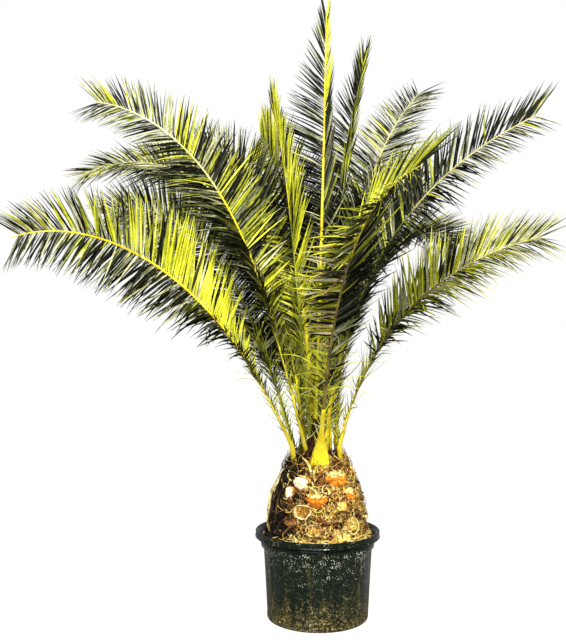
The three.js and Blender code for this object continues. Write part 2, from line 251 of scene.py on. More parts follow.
# Dry plant fibre, cut wood and bark: matt, with coarse flecks and a rough grain that runs up the trunk.
def fibreMaterial(name, colours, grain, relief=0.8):
    material, add, shader, place = newMaterial(name, Roughness=0.85, IOR=1.45, Specular_IOR_Level=0.25)
    stretch = add("ShaderNodeMapping", {"Vector": place, "Scale": (1.0, 1.0, 0.4)})
    fleck = add("ShaderNodeTexNoise",
                {"Vector": stretch, "Scale": 1 / grain, "Detail": 6.0, "Roughness": 0.65})
    colour = add("ShaderNodeValToRGB", {"Fac": fleck}, ((0.36, 0.5, 0.62), colours))
    finishShader(add, shader, colour, fleck, relief, grain * 0.3)
    return material


# Moulded black polypropylene that has stood outdoors. Its skin has chalked, so it reflects little. It is
# green with algae, yellow-brown with mud near the foot, streaked downwards and specked with dried splashes.
def potMaterial():
    material, add, shader, place = newMaterial("weathered_black_polypropylene", IOR=1.49,
                                               Specular_IOR_Level=0.16)
    height = add("ShaderNodeSeparateXYZ", {"Vector": place}).outputs["Z"]
    stretch = add("ShaderNodeMapping", {"Vector": place, "Scale": (1.0, 1.0, 0.14)})
    streak = add("ShaderNodeTexNoise",
                 {"Vector": stretch, "Scale": 1 / (45 * mm), "Detail": 6.0, "Roughness": 0.6})
    grime = add("ShaderNodeTexNoise",
                {"Vector": place, "Scale": 1 / (8 * mm), "Detail": 8.0, "Roughness": 0.8})
    low = add("ShaderNodeMapRange",
              {"Value": height, "From Min": 0.16, "From Max": 0.0, "To Min": -0.2, "To Max": 0.1})
    film = add("ShaderNodeMath", {0: streak, 1: low}, operation="ADD")
    filmRough = add("ShaderNodeMix", {"Factor": 0.3, 2: film, 3: grime})
    clean = add("ShaderNodeValToRGB", {"Fac": grime},
                ((0.4, 0.52, 0.6, 0.7), "020402 0a140b 1c2b1b 4c5a44"))
    muddy = add("ShaderNodeValToRGB", {"Fac": grime},
                ((0.42, 0.5, 0.56, 0.64), "0b0b05 2e2b15 6f6334 b8a067"))
    cover = add("ShaderNodeMapRange", {"Value": filmRough, "From Min": 0.42, "From Max": 0.6})
    body = add("ShaderNodeMix", {"Factor": cover, 6: clean, 7: muddy}, data_type="RGBA")
    # splashes of 2 to 4 mm, drawn a little coarse so that they show
    speck = add("ShaderNodeTexVoronoi", {"Vector": place, "Scale": 1 / (4.6 * mm)})
    size = add("ShaderNodeTexNoise", {"Vector": place, "Scale": 1 / (22 * mm), "Detail": 2.0})
    high = add("ShaderNodeMapRange",
               {"Value": height, "From Min": 0.14, "From Max": 0.26, "To Min": -0.16, "To Max": 0.06})
    rim = add("ShaderNodeMapRange",
              {"Value": height, "From Min": pot["height"] - 52 * mm, "From Max": pot["height"] - 40 * mm,
               "To Min": 0.0, "To Max": -0.2})
    edge = add("ShaderNodeMath", {0: high, 1: rim}, operation="ADD")
    reach = add("ShaderNodeMath", {0: size, 1: edge}, operation="ADD")
    limit = add("ShaderNodeMapRange",
                {"Value": reach, "From Min": 0.32, "From Max": 0.72, "To Min": 0.0, "To Max": 0.36})
    dots = add("ShaderNodeMath", {0: speck, 1: limit}, operation="LESS_THAN")
    colour = add("ShaderNodeMix",
                 {"Factor": dots, 6: body.outputs[2], 7: hexColour("d2d2bc")}, data_type="RGBA")
    gloss = add("ShaderNodeMapRange",
                {"Value": filmRough, "From Min": 0.35, "From Max": 0.6, "To Min": 0.3, "To Max": 0.7})
    handled = add("ShaderNodeMath", {0: gloss, 1: rim}, operation="ADD")
    give(shader.inputs["Roughness"], handled)
    finishShader(add, shader, colour.outputs[2], grime, 0.3, 0.6 * mm)
    return material


leafKinds = {
    "sunny": leafMaterial("leaf_sunlit_yellow", "a6a81a c8ca2c d9d95a", 0.5),
    "green": leafMaterial("leaf_yellow_green", "6c7414 949a28 b8b848", 0.5),
    # near-black leaflets: painted shade for shaded undersides and the depths of the crown
    "painted_shade": leafMaterial("leaf_painted_shade_black", "050602 111407 292d14", 0.5),
    "dull": leafMaterial("leaf_grey_green", "3a3d28 60644a 83865f", 0.55),
    # pale cream-grey leaflets: partly the bloom of leaf undersides, partly painted highlight of their gloss
    "pale": leafMaterial("leaf_bloom_and_painted_highlight", "82845c a9aa7e c9c8a0", 0.6),
    # bleached straw leaflets, made brighter still as painted sunlight where they lie in shade
    "bleached": leafMaterial("leaf_bleached_and_painted_sunlight", "d8c48c f3e8b8 fdf8e0", 0.6),
    "dry": leafMaterial("leaf_dry_tip", "8a642e b8965a dcc48e", 0.7),
}
stalkKinds = {
    "yellow": stalkMaterial("leaf_stalk_yellow", "b8930f e6cf12 f3e63e"),
    "olive": stalkMaterial("leaf_stalk_olive", "3f4d14 74801d b3ac2c"),
    "brown": stalkMaterial("leaf_stalk_browned", "3a2c0c 74601c a8963a"),
    "straw": stalkMaterial("leaf_rib_straw", "a89c50 cfc678 ece6b4"),
}
print("materials ready:", len(bpy.data.materials))


pot = {
    "height": 325 * mm, "rimRadius": 230 * mm, "bodyTopRadius": 204 * mm, "footRadius": 187 * mm,
    "corner": 10 * mm, "wall": 4 * mm, "rimDepth": 24 * mm, "shoulderDepth": 58 * mm, "shoulderStep": 4 * mm,
    "segments": 360, "panels": 10, "panelTurn": 28, "panelDepth": 1.6 * mm, "seamWidth": 0.1,
    "archTop": 259 * mm, "archDrop": 14 * mm, "panelsFrom": 12 * mm, "panelsTo": 262.5 * mm,
}


def arc(centreR, centreZ, radius, start, end, steps):  # points of a rounded edge, angles in degrees
    angles = np.radians(np.linspace(start, end, steps))
    return [(centreR + radius * math.cos(a), centreZ + radius * math.sin(a)) for a in angles]


def potProfile():
    h, wall, step = pot["height"], pot["wall"], pot["shoulderStep"]
    top, foot, c = pot["bodyTopRadius"], pot["footRadius"], pot["corner"]
    rimLow = h - pot["rimDepth"]
    shoulder = h - pot["shoulderDepth"]
    rim = pot["rimRadius"]
    outside = [(0, 2.5 * mm), (foot - 34 * mm, 2.5 * mm)]
    outside += [(foot - 30 * mm, 0)] + arc(foot - c, c, c, -90, 0, 6)
    outside += [(mix(foot, top - step, t), mix(c, shoulder - step, t)) for t in np.linspace(0.02, 1, 54)]
    outside += arc(top + step - 2 * mm, shoulder + 2 * mm, 2 * mm, -60, 0, 4)
    outside += [(top + step * 1.5, shoulder + 16 * mm), (top + step * 2, rimLow - 1 * mm)]
    outside += arc(top + step * 2 + 2 * mm, rimLow - 1 * mm, 2 * mm, 180, 90, 3)  # groove under the rim
    outside += arc(rim - 2.5 * mm, rimLow + 2.5 * mm, 2.5 * mm, -90, 60, 5)
    outside += [(rim - 2.2 * mm, rimLow + 7 * mm), (rim - 2.4 * mm, h - 8 * mm)]
    outside += arc(rim - 6 * mm, h - 5 * mm, 5 * mm, 20, 100, 6)
    inside = [(rim - 10 * mm, h - 1.5 * mm), (top + step * 2 - wall + 2 * mm, h - 6 * mm)]
    inside += [(top + step - wall, shoulder), (top - step - wall, shoulder - step)]
    inside += [(foot - wall, c + wall), (foot - wall - c / 2, wall), (0, wall)]
    return np.array(outside + inside), len(outside)


# Wide shallow panels with arched tops, parted by narrow upright seams: how far the wall is pressed in.
def panelPress(angles, z):
    share = (np.degrees(angles) - pot["panelTurn"]) * pot["panels"] / 360
    fromMiddle = np.abs(2 * (share - np.floor(share)) - 1)  # 0 in the middle of a panel, 1 at its seam
    top = pot["archTop"] - pot["archDrop"] * fromMiddle ** 3
    inHeight = smooth(z, 14 * mm, 26 * mm) * (1 - smooth(z, top - 3 * mm, top))
    inWidth = 1 - smooth(fromMiddle, 1 - 2 * pot["seamWidth"], 1 - pot["seamWidth"])
    return inHeight * inWidth * pot["panelDepth"]


def makePot():
    profile, outer = potProfile()
    segments = pot["segments"]
    angles = around(segments)
    r, z = (np.repeat(profile[:, [i]], segments, 1) for i in (0, 1))
    hasPanels = (profile[:, 1] > pot["panelsFrom"]) & (profile[:, 1] < pot["panelsTo"])
    hasPanels &= np.arange(len(profile)) < outer
    r = r - hasPanels[:, None] * panelPress(angles[None], z)
    sag = 1.2 * mm * np.cos(2 * angles + 0.6) * smooth(profile[:, 1], 0.1, 0.3)[:, None]
    r = np.where(r > 0.05, r + sag, r)  # a thin tub is never quite round
    body = polar(r, angles, z)[1:-1].reshape(-1, 3)
    rows = len(profile) - 2
    faces = ringFaces(rows, segments, capped=False)
    # fans close the underside and the floor inside
    low, high = len(body), len(body) + 1
    last = (rows - 1) * segments
    for k in range(segments):
        n = (k + 1) % segments
        faces += [[low, n, k], [high, last + k, last + n]]
    middles = [[0, 0, profile[0, 1]], [0, 0, profile[-1, 1]]]
    bundle = addToBundle(newBundle(), np.vstack([body, middles]), faces)
    makePiece("pot_shell", bundle, potMaterial(), ["pot"], shadeSmooth=True)


makePot()
print("pot made")

soil = {
    "top": 300 * mm, "edge": 203 * mm, "hub": 100 * mm, "segments": 90, "rings": 26, "crumb": 5 * mm,
    "below": ((203, 268), (195, 262), (181, 16), (175, 5)),  # radius and height in mm, down the pot's wall
}


def noiseField(points, scale, seed):  # cheap bumps: a sum of slanted waves, from about -1 to 1
    waves = np.random.default_rng(seed)
    total = np.zeros(len(points))
    for octave in range(3):
        for _ in range(4):
            way = unit(waves.normal(size=3)) * (2 ** octave) * 2 * math.pi / scale
            total += np.sin(points @ way + waves.uniform(0, 6.28)) / (2 ** octave)
    return total / 5


def makeSoil():
    segments, rings = soil["segments"], soil["rings"]
    ring = polar(1, around(segments))
    radii = np.linspace(soil["hub"], soil["edge"], rings)
    grid = (radii[:, None, None] * ring).reshape(-1, 3)
    level = soil["top"] - 6 * mm * smooth(np.hypot(grid[:, 0], grid[:, 1]), 170 * mm, soil["edge"])
    grid[:, 2] = level + soil["crumb"] * noiseField(grid, 30 * mm, 5) + 2 * mm * noiseField(grid, 9 * mm, 6)
    below = [ring * (r * mm) + [0, 0, z * mm] for r, z in soil["below"]]
    verts = np.vstack([ring * soil["hub"] + [0, 0, 5 * mm], grid] + below)
    rows = rings + 1 + len(below)
    faces = []
    for i in range(rows):  # the last row joins the first, under the soil
        a, b = i * segments, (i + 1) % rows * segments
        for k in range(segments):
            n = (k + 1) % segments
            faces.append([a + k, b + k, b + n, a + n])
    compost = fibreMaterial("bark_compost", "1a0f08 4a2d16 9a7440", 7 * mm, 1.0)
    makePiece("compost_surface", addToBundle(newBundle(), verts, faces), compost, ["soil"],
              shadeSmooth=True)


makeSoil()
print("soil made")

trunk = {
    "foot": 300 * mm, "bellyRadius": 163 * mm, "bellyHeight": 350 * mm,
    "shoulderHeight": 592 * mm, "shoulderRadius": 82 * mm, "heartTop": 762 * mm, "segments": 160,
    "heart": ((0, 80), (0.06, 56), (0.38, 35), (0.7, 19), (1, 5)),  # share of its height, radius in mm
}
stubs = {
    "count": 52, "first": 114, "turn": 137, "lowest": 316 * mm, "highest": 554 * mm,
    "width": 66 * mm, "height": 48 * mm, "reach": 14 * mm, "slope": 40,
    "blackAndShadedSide": (150, 236),  # headings where old sheaths have turned black, their near-black colours also painted shade on the trunk's shaded left side
    # the fresher cuts: finish, width and height in mm, reach in mm and degrees above level
    "fresh": {43: ("cream", 60, 50, 20, 14), 46: ("orange", 82, 60, 20, 44), 49: ("orange", 46, 40, 18, 36),
              30: ("orange", 74, 46, 19, 48), 35: ("cream", 34, 54, 17, 12), 33: ("orange", 44, 48, 17, 30),
              25: ("straw", 42, 38, 17, 22), 22: ("ring", 58, 52, 18, 14), 9: ("ring", 50, 44, 15, 12),
              12: ("straw", 50, 58, 15, 18), 4: ("straw", 76, 66, 16, 20), 38: ("ring", 40, 36, 15, 20)},
    "backSide": (20, 140),
    "backKinds": {"old": 0.64, "straw": 0.14, "ring": 0.11, "orange": 0.11},  # chances there
    "kinds": {  # colours of the skin, colours of the sawn face, and how that stands above its edge in mm
        "cream": ("7a4414 b5772c d8a65a", "b9a468 e4dcae f6f2d8", (3, 7, 10, 11)),
        "orange": ("9a430a d5700f eda02c", "a8983c d8cf7c efe9b0", (2, 4, 3, 5)),
        "straw": ("6e4c1c ab8238 d2b364", "8f7426 cbb452 e6d890", (1, 2, 1, 2)),
        "ring": ("7d6534 cdb878 ece0b0", "4a2d0a 94661a c99a3c", (-3, -4, -5, -5)),
        "old": ("1d0f07 55331a 8f6330", "241408 69461f a5803f", (0, 1, -1, 0)),
        # black: the bases on that side, their near-black partly painted shade
        "black": ("050302 100a06 2c2016", "060403 1a120b 4a3a28", (0, 1, 0, 0)),
    },
}


def trunkRadius(z):
    shoulder = trunk["shoulderHeight"]
    share = np.clip((z - trunk["bellyHeight"]) / (shoulder - trunk["bellyHeight"]), 0, 1)
    swell = mix(trunk["bellyRadius"], trunk["shoulderRadius"], share ** 2)
    heartShare = np.clip((z - shoulder) / (trunk["heartTop"] - shoulder), 0, 1)
    return np.where(z <= shoulder, swell, np.interp(heartShare, *zip(*trunk["heart"])) * mm)


def onTrunk(heading, z, out=0.0):  # a point on the trunk's surface; heading in radians
    return polar(trunkRadius(z) + out, heading, z)


def makeTrunkCore():
    shoulder, segments = trunk["shoulderHeight"], trunk["segments"]
    heights = np.concatenate([np.linspace(trunk["foot"], shoulder, 70),
                              np.linspace(shoulder + 4 * mm, trunk["heartTop"] - 2 * mm, 36)])
    heading, z = np.meshgrid(around(segments), heights)
    heading, z = heading.ravel(), z.ravel()
    points = onTrunk(heading, z)
    # fibre mats: coarse plates, and ridges that lean both ways across each other
    ridges = 1.2 * mm * np.sin(heading * 46 + z * 420) * np.sin(heading * 46 - z * 420)
    relief = 3.5 * mm * noiseField(points, 50 * mm, 8) + 2 * mm * noiseField(points, 14 * mm, 9) + ridges
    relief = relief * np.clip(np.hypot(points[:, 0], points[:, 1]) / 0.05, 0.2, 1)  # less on the slim heart
    points += polar(1, heading) * relief[:, None]
    bundle = addToBundle(newBundle(), points, ringFaces(len(heights), segments))
    bark = fibreMaterial("palm_fibre_mat", "080402 22110a 5c361a", 6 * mm, 1.0)
    makePiece("trunk_core", bundle, bark, ["trunk"], shadeSmooth=True)


# The outline of a cut leaf base, half widths 1: flat crescent above, keel below, anticlockwise.
def stubOutline(points=24):
    a = around(points)
    x = np.sign(np.cos(a)) * np.abs(np.cos(a)) ** 0.8
    y = np.where(np.sin(a) > 0, 0.75 * np.abs(np.sin(a)) ** 0.85, -0.95 * np.abs(np.sin(a)) ** 1.1)
    return np.stack([x, y], -1)


# Each cut base is a short keeled block that leans out and up: a skin, and a face where the leaf was sawn off.
def makeStubs():
    kinds = stubs["kinds"]
    skins = {kind: newBundle() for kind in kinds}
    cuts = {kind: newBundle() for kind in kinds}
    outline = stubOutline()
    corners = len(outline)
    for i in range(stubs["count"]):
        share = i / (stubs["count"] - 1)
        z = mix(stubs["lowest"], stubs["highest"], share) + 5 * mm * scatter(i + 0.1)
        degrees = (stubs["turn"] * i + stubs["first"] + 5 * scatter(i + 0.5)) % 360
        heading = math.radians(degrees)
        onBlackAndShadedSide = stubs["blackAndShadedSide"][0] < degrees < stubs["blackAndShadedSide"][1]
        if i in stubs["fresh"]:
            kind, width, height, reach, climb = stubs["fresh"][i]
            width, height, reach = width * mm, height * mm, reach * mm
        else:
            # on that side the bases are black: old dead ones, darkened further as painted shade
            kind = "black" if onBlackAndShadedSide else "old"
            if stubs["backSide"][0] < degrees < stubs["backSide"][1]:
                backKinds = stubs["backKinds"]
                kind = rng.choice(list(backKinds), p=list(backKinds.values()))
            size = mix(1.08, 0.72, share)
            width = stubs["width"] * size * (1 + 0.12 * scatter(i + 0.2))
            height = stubs["height"] * size
            reach = stubs["reach"] + 4 * mm * scatter(i + 0.3) - (5 * mm if onBlackAndShadedSide else 0)
            climb = stubs["slope"] + 7 * scatter(i + 0.4)
        slope = math.radians(climb)
        outward = np.array([math.cos(heading), math.sin(heading), 0])
        side = np.array([-math.sin(heading), math.cos(heading), 0])
        along = outward * math.cos(slope) + np.array([0, 0, math.sin(slope)])
        lift = np.array([0, 0, math.cos(slope)]) - outward * math.sin(slope)
        root = onTrunk(np.array(heading), np.array(z))

        def stack(bundle, distances, scales, wobble, upper=0.0):
            ragged = 1 + wobble * rng.normal(size=corners)
            rings = []
            for distance, scale in zip(distances, scales):
                uneven = 0.25 * wobble * width * rng.normal(size=corners) if scale < 0.9 else 0
                bend = -0.16 * outline[:, 0] ** 2 * width / 2 * scale
                rise = (outline[:, 1] * ragged * scale * (1 - upper) + upper) * height / 2
                rings.append(root + np.multiply.outer(distance + uneven + np.zeros(corners), along)
                             + side * (outline[:, 0] * width / 2 * ragged * scale)[:, None]
                             + lift * rise[:, None] + outward * bend[:, None])
            addToBundle(bundle, np.concatenate(rings), ringFaces(len(rings), corners))

        steps = list(np.linspace(-30 * mm, reach, 7))
        swell = [1.2, 1.18, 1.16, 1.13, 1.1, 1.08, 1.0]
        face = [0.95, 0.92, 0.66, 0.38, 0.12]
        if kind == "ring":  # a curled sheath stands round the face like the lip of a cup
            steps += [reach + 4 * mm, reach + 4 * mm, reach - 6 * mm]
            swell[-1:] = [1.1, 1.14, 0.98, 0.9]
            face = [0.92, 0.9, 0.64, 0.38, 0.12]
        stack(skins[kind], steps, swell, 0.07 if kind in ("old", "black") else 0.04)
        crown = [reach + h * mm for h in kinds[kind][2]]
        stack(cuts[kind], [reach - 7 * mm, *crown], face, 0.05, 0.4 if kind == "orange" else 0.0)
    for kind, (skin, cut, _) in kinds.items():
        skinFinish = fibreMaterial("leaf_base_skin_" + kind, skin, 9 * mm, 0.6)
        cutFinish = fibreMaterial("sawn_leaf_base_" + kind, cut, 6 * mm, 0.7)
        makePiece("leaf_base_skins_" + kind, skins[kind], skinFinish)
        makePiece("leaf_base_cuts_" + kind, cuts[kind], cutFinish)


ribbonSection = [(1, 0, -1), (1, 0, 1), (-1, 0, 1), (-1, 0, -1)]
threadSection = [(1, 0, 0), (-0.5, 0, 0.87), (-0.5, 0, -0.87)]


# Curled strands that start on the trunk and wander over it. Returns centres, sides and lifts.
def wander(heading, z, length, curl, standOff, rings, climb):
    count = len(heading)
    outward = unit(polar(1, heading, 0.25))
    level = across(np.stack([-np.sin(heading), np.cos(heading), np.zeros(count)], -1), outward)
    upward = np.cross(outward, level)
    way = climb + rng.normal(size=count) * 0.5
    tangent = level * np.cos(way)[:, None] + upward * np.sin(way)[:, None]
    centre = np.zeros((count, rings, 3))
    side = np.zeros_like(centre)
    lift = np.zeros_like(centre)
    point = onTrunk(heading, z, standOff * 0.3)
    step = (length / (rings - 1))[:, None]
    for j in range(rings):
        t = j / (rings - 1)
        hump = standOff * math.sin(math.pi * min(1, t * 1.1))
        centre[:, j] = point + outward * hump[:, None]
        lift[:, j] = across(outward, tangent)
        side[:, j] = np.cross(lift[:, j], tangent)
        point = point + tangent * step
        tangent = turned(tangent, outward, curl / (rings - 1))
    return centre, side, lift


fibres = {
    "from": 302 * mm, "rise": 285 * mm, "rustyFrom": 530 * mm,
    # count, half widths, longest, how far they stand off the trunk at most, curl
    "strips": (3400, (1.1 * mm, 2.1 * mm), 72 * mm, 15 * mm, 3.4),
    "flaps": (260, (2.6 * mm, 4.6 * mm), 100 * mm, 17 * mm, 2.6),
    "threads": (1700, (0.5 * mm, 0.9 * mm), 110 * mm, 16 * mm, 1.8),
    "litter": (1500, (1.1 * mm, 2.2 * mm), 70 * mm, 9 * mm, 2.6),
    "litterLevel": 301 * mm, "litterReach": (160 * mm, 201 * mm), "sunnySide": 288,
    "kinds": {  # three colours, and the share of the strands
        "straw": ("dry_straw_fibre", "8c742c c4ac58 e8d898", 0.4),
        "gold": ("golden_fibre", "784e12 b08224 dab850", 0.2),
        "rust": ("rusty_fibre", "34150a 6a3014 a05c28", 0.22),
        "dark": ("dark_dead_fibre", "060403 120a06 302216", 0.18),
    },
}


def makeFibres():
    kinds = fibres["kinds"]
    names = list(kinds)
    straw, rust, dark = (names.index(n) for n in ("straw", "rust", "dark"))
    bundles = {n: newBundle() for n in names}
    for group in ("strips", "flaps", "threads", "litter"):
        total, half, longest, highest, curliness = fibres[group]
        isThread, isLitter = group == "threads", group == "litter"
        rings = 11 if group == "flaps" else 9
        heading = rng.uniform(0, 2 * math.pi, total)
        z = fibres["from"] + fibres["rise"] * rng.uniform(0, 1, total) ** (0.85 if isThread else 1.1)
        kind = rng.choice(len(names), total, p=[row[2] for row in kinds.values()])
        if isLitter:  # mostly straw, heaped at the side with the sun
            kind = np.where(rng.random(total) < 0.4, straw, kind)
            sunny = rng.random(total) < 0.45
            heading = np.where(sunny, rng.normal(math.radians(fibres["sunnySide"]), 0.6, total), heading)
        degrees = np.degrees(heading) % 360
        # there most strands are dark: dead fibre, and painted shade on the trunk's shaded side
        low, high = stubs["blackAndShadedSide"]
        kind = np.where((degrees > low) & (degrees < high) & (rng.random(total) < 0.9), dark, kind)
        kind = np.where((z > fibres["rustyFrom"]) & (kind == straw) & (rng.random(total) < 0.5), rust, kind)
        length = rng.uniform(0.35, 1, total) * longest
        curl = rng.normal(size=total) * curliness
        standOff = rng.uniform(2 * mm, highest, total)
        climb = rng.choice([0.2, 1.2, 2.0, 2.9, -0.9], total)
        centre, side, lift = wander(heading, z, length, curl, standOff, rings, climb)
        if isLitter:  # laid flat on the soil round the foot
            spread = rng.uniform(0.166, 0.2, total)
            flat = np.hypot(centre[..., 0], centre[..., 1])
            reach = np.clip(spread[:, None] + (flat - flat[:, :1]), *fibres["litterReach"])
            centre[..., :2] *= (reach / flat)[..., None]
            heap = (centre[..., 2] - z[:, None]) * 0.25 + rng.uniform(0, 16 * mm, total)[:, None]
            centre[..., 2] = fibres["litterLevel"] + np.maximum(heap, -4 * mm)
        t = np.linspace(0, 1, rings)
        taper = (0.45 + 0.55 * np.sin(math.pi * np.clip(t * 0.9 + 0.08, 0, 1)))[None]
        width = rng.uniform(*half, total)[:, None]
        depth = width if isThread else np.full((total, 1), 0.5 * mm)
        dealStrands(bundles, names, kind, (centre, side, lift, width * taper, depth * taper),
                    threadSection if isThread else ribbonSection)
    for name, (finish, colours, _) in kinds.items():
        makePiece("fibres_" + name, bundles[name], fibreMaterial(finish, colours, 9 * mm, 0.4))


sheaths = {
    "rings": 18, "stand": 15 * mm,
    # heading, highest and lowest level and width in mm, and whether it is pale
    "rows": ((182, 585, 312, 21, True), (192, 565, 440, 12, True), (174, 570, 330, 26, False),
             (196, 560, 350, 28, False), (207, 550, 340, 24, False), (166, 550, 340, 22, False),
             (20, 500, 370, 20, False), (108, 545, 360, 24, True), (132, 520, 340, 22, False)),
}


# Long dead sheaths that lie down the side of the trunk.
def makeSheaths():
    dark, pale = newBundle(), newBundle()
    rings = sheaths["rings"]
    t = np.linspace(0, 1, rings)
    for degrees, high, low, width, isPale in sheaths["rows"]:
        heading = np.radians(degrees + 3 * np.sin(t * 4 + degrees))
        stand = sheaths["stand"] + 7 * mm * np.sin(t * math.pi) + 2 * mm * np.sin(t * 17 + degrees)
        if not isPale:
            stand = stand - 8 * mm
        centre = onTrunk(heading, mix(high, low, t) * mm, stand)[None]
        along = unit(np.gradient(centre[0], axis=0))
        lift = turned(across(polar(1, heading), along), along, 0.9 * np.sin(t * 3 + degrees))[None]
        side = np.cross(lift, along[None])
        half = width * mm / 2 * (0.35 + 0.65 * np.sin(math.pi * (0.12 + 0.8 * t)))[None]
        fold = [(1, 0.35, 0), (0, 0, 1), (-1, 0.35, 0), (0, 0, -1)]
        addStrands(pale if isPale else dark, centre, side, lift, half, np.full((1, rings), 1.6 * mm), fold)
    darkSheath = fibreMaterial("dead_leaf_sheath", "0d0805 2c1e13 7a6442", 5 * mm)
    paleSheath = fibreMaterial("bleached_leaf_sheath", "5c4c26 c8b67c efe6c2", 12 * mm, 0.5)
    makePiece("dead_sheaths", dark, darkSheath)
    makePiece("bleached_sheaths", pale, paleSheath)


tufts = {
    "count": 240, "rings": 6, "headings": (183, 193, 172, 352, 8, 90, 250, 300),
    "levels": (555 * mm, 605 * mm), "lengths": (18 * mm, 46 * mm), "halfWidths": (0.7 * mm, 1.4 * mm),
}


# Tufts of stiff threads at the trunk's shoulder.
def makeTufts():
    count = tufts["count"]
    t = np.linspace(0, 1, tufts["rings"])
    heading = rng.choice(np.radians(tufts["headings"]), count) + rng.normal(size=count) * 0.16
    start = onTrunk(heading, rng.uniform(*tufts["levels"], count), 2 * mm)
    out = polar(1, heading, rng.normal(size=count) * 0.8 + 0.5)
    out = unit(out + rng.normal(size=(count, 3)) * 0.35)
    length = rng.uniform(*tufts["lengths"], count)
    droop = rng.normal(size=count) * 0.25
    centre, side, lift = straightStrands(start, out, np.array([0.0, 0.0, 1.0]), length, t)
    centre[..., 2] -= (length * droop)[:, None] * t ** 2
    thick = np.outer(rng.uniform(*tufts["halfWidths"], count), 1 - 0.9 * t)
    bundle = newBundle()
    addStrands(bundle, centre, side, lift, thick, thick, threadSection)
    black = fibreMaterial("black_stiff_fibre", "0a0705 1e140d 4a3824", 4 * mm)
    makePiece("shoulder_tufts", bundle, black)


makeTrunkCore()
makeStubs()
makeFibres()
makeSheaths()
makeTufts()
print("trunk made")

# The solids have so many pairs of leaflets, each for so many finer ones here. spread is their angle from the
# rib and lift that above its plane, in degrees, near its foot and near its tip. Rib sizes are at its foot, a
# little above, where the leaflets start and at its tip.
blade = {
    "pairs": 38, "start": 0.17, "finer": 8, "leafletLength": 250 * mm, "tipShare": 0.6, "endLength": 60 * mm,
    "spread": (64, 40), "spreadEase": 3, "lift": (20, 10), "sag": 0.14,
    "ribWidth": (40 * mm, 27 * mm, 15 * mm, 4 * mm), "ribDepth": (22 * mm, 14 * mm, 9 * mm, 3 * mm),
    "leafletWidth": 12 * mm, "rings": 5, "lightFrom": np.array([0.25, -0.8, 0.6]),
}
seats = {  # where stalks leave the heart: distance from the axis, height, and size of the rib there
    "outer": (76 * mm, 586 * mm, 0.84), "middle": (48 * mm, 630 * mm, 0.68),
    "inner": (29 * mm, 680 * mm, 0.55), "centre": (6 * mm, 750 * mm, 0.7),
}
